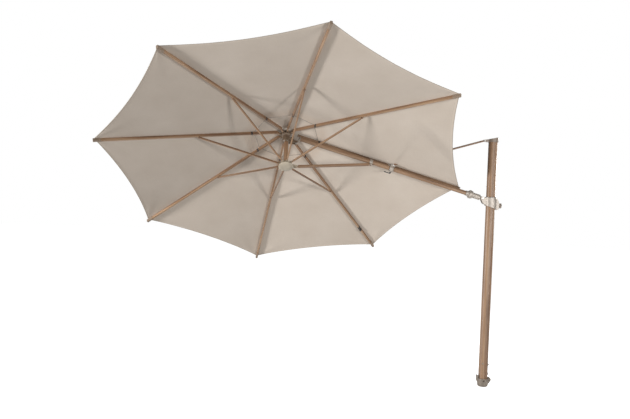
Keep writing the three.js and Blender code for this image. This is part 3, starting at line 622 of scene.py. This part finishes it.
def strip(name, path, width, height, material, body, up=POLE_UP, power=2.0, sides=12):
    """A cord, tape or sleeve along a path, with x of its grain along it."""
    points, faces = sweep(path, width, height, sides, power, up)
    made = make_mesh(name, points, faces, material)
    travelled, grain = 0.0, []
    for i, place in enumerate(path):
        travelled += (place - path[i - 1]).length if i else 0.0
        for k in range(sides):
            angle = 2 * math.pi * k / sides
            grain.append((travelled, width / 2 * math.cos(angle), height / 2 * math.sin(angle)))
    store_places(made, grain)
    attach(made, body)
    return made


def gather(piece):
    """Gives a cloth piece its own copy of its mesh."""
    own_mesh(piece)


def open_slit(points, faces):
    """Cuts the tie rod's slit in the cloth beside the collar: moves its rim onto an ellipse."""
    boom = BOOM.inverted()
    middle = COLLAR_X - SLIT_MIDDLE
    reach = []
    for point in points:
        place = boom @ point
        reach.append(math.hypot((place.x - middle) / SLIT_HALF_X, place.y / SLIT_HALF_Y))
    kept = [face for face in faces if any(reach[k] >= 1 for k in face)]
    for k in {k for face in kept for k in face if reach[k] < 1}:
        place = boom @ points[k]
        grow = 1 / max(reach[k], 0.05)
        place.x = middle + (place.x - middle) * grow
        place.y *= grow
        points[k] = BOOM @ place
    return kept


def canopy_wedge(index):
    """Cloth from mid-panel to mid-panel across one rib, with its piped hem and vent edge."""
    columns, rows = 44, 88 if index else 176        # finer over the boom, for the slit
    inner = VENT_INNER / math.cos(SLOPE) * math.cos(PANEL_ANGLE)
    grid = half_panel(inner, columns, rows)
    cells = grid_faces(rows + 1, columns + 1)
    points, grain, hems, ribs, faces, hem_path, vent_path = [], [], [], [], [], [], []
    for side in (1, -1):
        base = len(points)
        for x, y, to_hem in grid:
            points.append(RADIAL[index] @ PANEL[side] @ Vector((x, y, sag(x, y))))
            grain.append((x, side * y, 0))
            hems.append(to_hem)
            ribs.append((x * math.tan(PANEL_ANGLE) - y) * math.cos(PANEL_ANGLE))
        for a, b, c, d in cells:
            face = (base + a, base + b, base + c, base + d)
            faces.append(face if side == 1 else tuple(reversed(face)))
        hem = points[base + rows * (columns + 1):]
        vent = points[base:base + columns + 1]
        hem_path += hem if side == 1 else hem[-2::-1]
        vent_path += vent if side == 1 else vent[-2::-1]
    if index == 0:
        faces = open_slit(points, faces)
    made = make_mesh(f"canopy_cloth_{index}", points, faces, CLOTH)
    store_places(made, grain)
    store_number(made, "hem", hems)
    store_number(made, "rib", ribs)
    weld_rib(made)
    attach(made, RIB_BODY[index])
    gather(made)
    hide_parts(f"canopy_panel_{index}")
    hem = strip(f"hem_{index}", hem_path, 2 * PIPING, 2 * PIPING, BINDING, RIB_BODY[index])
    vent = strip(
        f"vent_edge_{index}", vent_path, VENT_TAPE_WIDTH, VENT_TAPE_THICKNESS, VENT_TAPE,
        RIB_BODY[index], power=4,
    )
    for piece in (hem, vent):
        gather(piece)


def weld_rib(piece):
    """Joins the two halves of a wedge along its rib."""
    work = bmesh.new()
    work.from_mesh(piece.data)
    bmesh.ops.remove_doubles(work, verts=work.verts, dist=0.0002)
    loose = [v for v in work.verts if not v.link_faces]
    bmesh.ops.delete(work, geom=loose, context="VERTS")
    work.to_mesh(piece.data)
    work.free()


def vent_wedge(index):
    """One eighth of the raised cap over the vent."""
    columns, rows = 16, 24
    half = SECTOR / 2
    points, grain, hems, ribs, flat = [], [], [], [], []
    for r in range(rows + 1):
        for c in range(2 * columns + 1):
            angle = half * (c - columns) / columns
            bend = math.cos(half) / math.cos(half - abs(angle))
            towards_middle = math.sin(math.pi * abs(angle) / half / 2)
            outer = VENT_CAP_RADIUS * bend - VENT_CAP_SCALLOP * towards_middle
            radius = VENT_CAP_INNER + (outer - VENT_CAP_INNER) * r / rows
            puff = VENT_CAP_PUFF * math.sin(math.pi * r / rows) * towards_middle
            z = VENT_TOP - radius / bend * math.tan(VENT_SLOPE) + puff
            place = Vector((radius * math.cos(angle), radius * math.sin(angle), z))
            points.append(RADIAL[index] @ place)
            grain.append(tuple(place))
            flat.append((place.x, place.y))
            hems.append(outer - radius)
            ribs.append(abs(place.y))
    faces = grid_faces(rows + 1, 2 * columns + 1)
    made = make_mesh(f"vent_cloth_{index}", points, faces, CLOTH)
    store_places(made, grain)
    store_number(made, "hem", hems)
    store_number(made, "rib", ribs)
    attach(made, RIB_BODY[index])
    gather(made)
    if index == 0:
        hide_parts("vent_cap")
    hem = strip(
        f"vent_hem_{index}", points[rows * (2 * columns + 1):], VENT_HEM, VENT_HEM, BINDING,
        RIB_BODY[index],
    )
    gather(hem)


def crown_patch():
    """Round reinforcement of the cloth under the finial."""
    rows, columns = 5, 48
    points, grain = [], []
    for r in range(rows + 1):
        radius = VENT_CAP_INNER + PATCH_WIDTH * r / rows
        for c in range(columns):
            angle = 2 * math.pi * c / columns
            height = VENT_TOP + PATCH_LIFT - radius * math.tan(VENT_SLOPE)
            place = Vector((radius * math.cos(angle), radius * math.sin(angle), height))
            points.append(CANOPY @ place)
            grain.append(tuple(place))
    made = make_mesh("crown_patch", points, grid_faces(rows + 1, columns, closed=True), CLOTH)
    store_places(made, grain)
    far_from_seams = [1.0] * len(points)
    store_number(made, "hem", far_from_seams)
    store_number(made, "rib", far_from_seams)
    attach(made, "crown")


# ---------------------------------------------------------------- small pieces on the ribs
def band(name, to_row, x, length, half_y, half_z, thickness, material, body):
    """A flat band round a bar: to_row's x runs along the bar, and x is the band's middle."""
    count = 40
    points = []
    for k in range(count):
        angle = 2 * math.pi * k / count
        c, s = math.cos(angle), math.sin(angle)
        share_y = math.copysign(abs(c) ** (2 / BAND_POWER), c)
        share_z = math.copysign(abs(s) ** (2 / BAND_POWER), s)
        for grow, along in ((0, -1), (thickness, -1), (thickness, 1), (0, 1)):
            place = (x + along * length / 2, share_y * (half_y + grow), share_z * (half_z + grow))
            points.append(to_row @ Vector(place))
    faces = grid_faces(count, 4, closed=True)
    last = (count - 1) * 4
    faces += [(last + k, last + (k + 1) % 4, (k + 1) % 4, k) for k in range(4)]
    made = make_mesh(name, points, faces, material)
    store_grain(made, to_row)
    soften(made, thickness * 0.3)
    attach(made, body)
    return made


def rib_centre(index):
    """Frame along a rib's centre line, x from its pivot."""
    return rail_frame() if index == 0 else RIB[index] @ Matrix.Translation((0, 0, RIB_DROP))


def rail_frame():
    """Along the boom's rail from the crown towards the mast, as a rib's centre line runs."""
    start = RADIAL[0] @ Vector((HUB_PIVOT, 0, 0))
    out = -BOOM_OUT
    up = BOOM_OUT.cross(BOOM_SIDE)
    origin = start - (start - BOOM @ Vector((0, 0, 0))).dot(up) * up + RAIL_HEIGHT_OVER_BOOM * up
    return frame_of(out, up.cross(out), up, origin)


def rib_tip_x():
    """A rib's tip along its centre line, from its pivot."""
    return (CANOPY_RADIUS - HUB_PIVOT) / math.cos(SLOPE) - RIB_DROP * math.tan(SLOPE)


def rib_details(index):
    """Vent clip on a rib or the rail, and on a rib its tip pocket and rivets too."""
    bar = rib_centre(index)
    tall = RAIL_TALL if index == 0 else RIB_HEIGHT
    body = RIB_BODY[index]
    clip_x = (VENT_INNER - HUB_PIVOT) / math.cos(SLOPE) + CLIP_FROM_VENT
    band(
        f"vent_clip_{index}", bar, clip_x, CLIP_LENGTH, RIB_WIDTH / 2 + CLIP_FIT,
        tall / 2 + CLIP_FIT, CLIP_THICKNESS, STRAP, body,
    )
    if index == 0:
        return
    tip = rib_tip_x()
    steps = (-0.062, -0.056, -0.02, 0.004, 0.009)
    path = [bar @ Vector((tip + step, 0, POCKET_LIFT)) for step in steps]
    pocket = strip(
        f"tip_pocket_{index}", path, RIB_WIDTH + POCKET_EXTRA_WIDTH,
        RIB_HEIGHT + POCKET_EXTRA_HEIGHT, POCKET, body,
        up=bar.to_3x3() @ Vector((0, 0, 1)), power=7, sides=32,
    )
    soften(pocket, PLAIN_EDGE)
    rivet(index)


# (radius, height) along a head's axis: a rivet's from the rib's middle, a screw's from the mast's side
RIVET_PROFILE = [
    (0.0050, 0.0076), (0.0049, 0.0084), (0.0040, 0.0095), (0.0022, 0.0101), (0.0004, 0.0103),
]
SCREW_PROFILE = [
    (0.0055, -0.0010), (0.0055, 0.0012), (0.0048, 0.0026), (0.0030, 0.0034), (0.0004, 0.0036),
]


def rivet(index):
    """Domed rivet heads of the strut's pivot on the rib."""
    upper = Matrix.Translation(pivot(f"strut_{index}_pivot"))
    side = RADIAL[index].to_3x3() @ Vector((0, 1, 0))
    lift = side.cross(POLE_UP)
    for sign, end in ((1, "a"), (-1, "b")):
        turn = frame_of(lift, side.cross(lift) * sign, side * sign, Vector((0, 0, 0)))
        points, faces = lathe(RIVET_PROFILE, 24, upper @ turn)
        head = make_mesh(f"rivet_{index}_{end}", points, faces, BLACK)
        store_grain(head, Matrix.Identity(4))
        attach(head, f"rib_{index}")


def stop_screws():
    """Two button-head screws in the mast's sides that stop the carriage below the cap."""
    low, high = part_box("mast_tube")
    for side, end in ((1, "right"), (-1, "left")):
        place = Vector((side * (high.x - low.x) / 2, 0, STOP_SCREW_HEIGHT))
        turn = frame_of(Vector((0, 0, side)), Vector((0, 1, 0)), Vector((side, 0, 0)), place)
        points, faces = lathe(SCREW_PROFILE, 24, turn)
        head = make_mesh(f"stop_screw_{end}", points, faces, STEEL)
        store_grain(head, Matrix.Identity(4))
        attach(head, "mast")


def storage_strap():
    """Webbing of the storage strap, wound on the rib beside its clip."""
    bar = rib_centre(PANELS - 1)
    low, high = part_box("strap_clip")
    x = (bar.inverted() @ ((low + high) / 2)).x
    band(
        "storage_strap", bar, x - STRAP_FROM_CLIP, STRAP_LENGTH, RIB_WIDTH / 2 + STRAP_FIT,
        RIB_HEIGHT / 2 + STRAP_FIT, STRAP_THICKNESS, STRAP, f"rib_{PANELS - 1}",
    )


# ---------------------------------------------------------------- stage and light
AMBIENT = 0.30                   # strength of the white world
FLOOR_GLOW = 0.80                # keeps the floor near white in the parasol's shade
BACKDROP_RADIUS = 40
FLOOR_RADIUS = 39                # inside the backdrop
FLOOR_DROP = 0.0006              # floor below the foot
LIGHTS = [                       # name, place, width and power, all aimed at the crown
    ("left", (-10.51, -2.75, 0.99), 1.5, 840),
    ("right", (2.32, -5.41, 1.66), 1.1, 215),
    ("front", (0.5, -8.5, 1.2), 3.0, 55),
    ("behind_right", (4.10, 2.78, 2.45), 0.35, 170),
]


def make_stage():
    """White floor, white backdrop that lights nothing, and a dim white world."""
    material = bpy.data.materials.new("pale_floor")
    material.use_nodes = True
    shader = material.node_tree.nodes["Principled BSDF"]
    shader.inputs["Base Color"].default_value = (0.9, 0.9, 0.9, 1)
    shader.inputs["Roughness"].default_value = 0.9
    shader.inputs["Specular IOR Level"].default_value = 0.1
    shader.inputs["Emission Color"].default_value = (1, 1, 1, 1)
    shader.inputs["Emission Strength"].default_value = FLOOR_GLOW
    bpy.ops.mesh.primitive_circle_add(
        vertices=96, radius=FLOOR_RADIUS, fill_type="NGON", location=(0, 0, -FLOOR_DROP),
    )
    floor = bpy.context.object
    floor.name = "floor"
    floor.data.materials.append(material)
    floor.visible_diffuse = False
    glow = bpy.data.materials.new("pale_backdrop")
    glow.use_nodes = True
    shader = glow.node_tree.nodes["Principled BSDF"]
    shader.inputs["Base Color"].default_value = (0, 0, 0, 1)
    shader.inputs["Specular IOR Level"].default_value = 0.0
    shader.inputs["Emission Color"].default_value = (1, 1, 1, 1)
    shader.inputs["Emission Strength"].default_value = 1.0
    bpy.ops.mesh.primitive_uv_sphere_add(segments=64, ring_count=32, radius=BACKDROP_RADIUS)
    dome = bpy.context.object
    dome.name = "backdrop"
    dome.data.materials.append(glow)
    dome.visible_diffuse = False
    dome.visible_glossy = False
    dome.visible_transmission = False
    dome.visible_shadow = False
    world = bpy.data.worlds.new("studio")
    world.use_nodes = True
    world.node_tree.nodes["Background"].inputs["Color"].default_value = (1.0, 1.0, 1.0, 1)
    world.node_tree.nodes["Background"].inputs["Strength"].default_value = AMBIENT
    bpy.context.scene.world = world
    bpy.context.scene.view_settings.view_transform = "Standard"


def soft_light(name, place, size, power):
    data = bpy.data.lights.new(name, "AREA")
    data.shape = "DISK"
    data.size = size
    data.energy = power
    light = bpy.data.objects.new(name, data)
    aim = HUB - Vector(place)
    turn = aim.to_track_quat("-Z", "Y").to_matrix().to_4x4()
    light.matrix_world = Matrix.Translation(place) @ turn
    bpy.context.collection.objects.link(light)


# ---------------------------------------------------------------- the scene
make_camera()
make_stage()
for lamp in LIGHTS:
    soft_light(*lamp)
finish_cad_nodes()
for rib_index in range(PANELS):
    canopy_wedge(rib_index)
    vent_wedge(rib_index)
    rib_details(rib_index)
crown_patch()
storage_strap()
stop_screws()
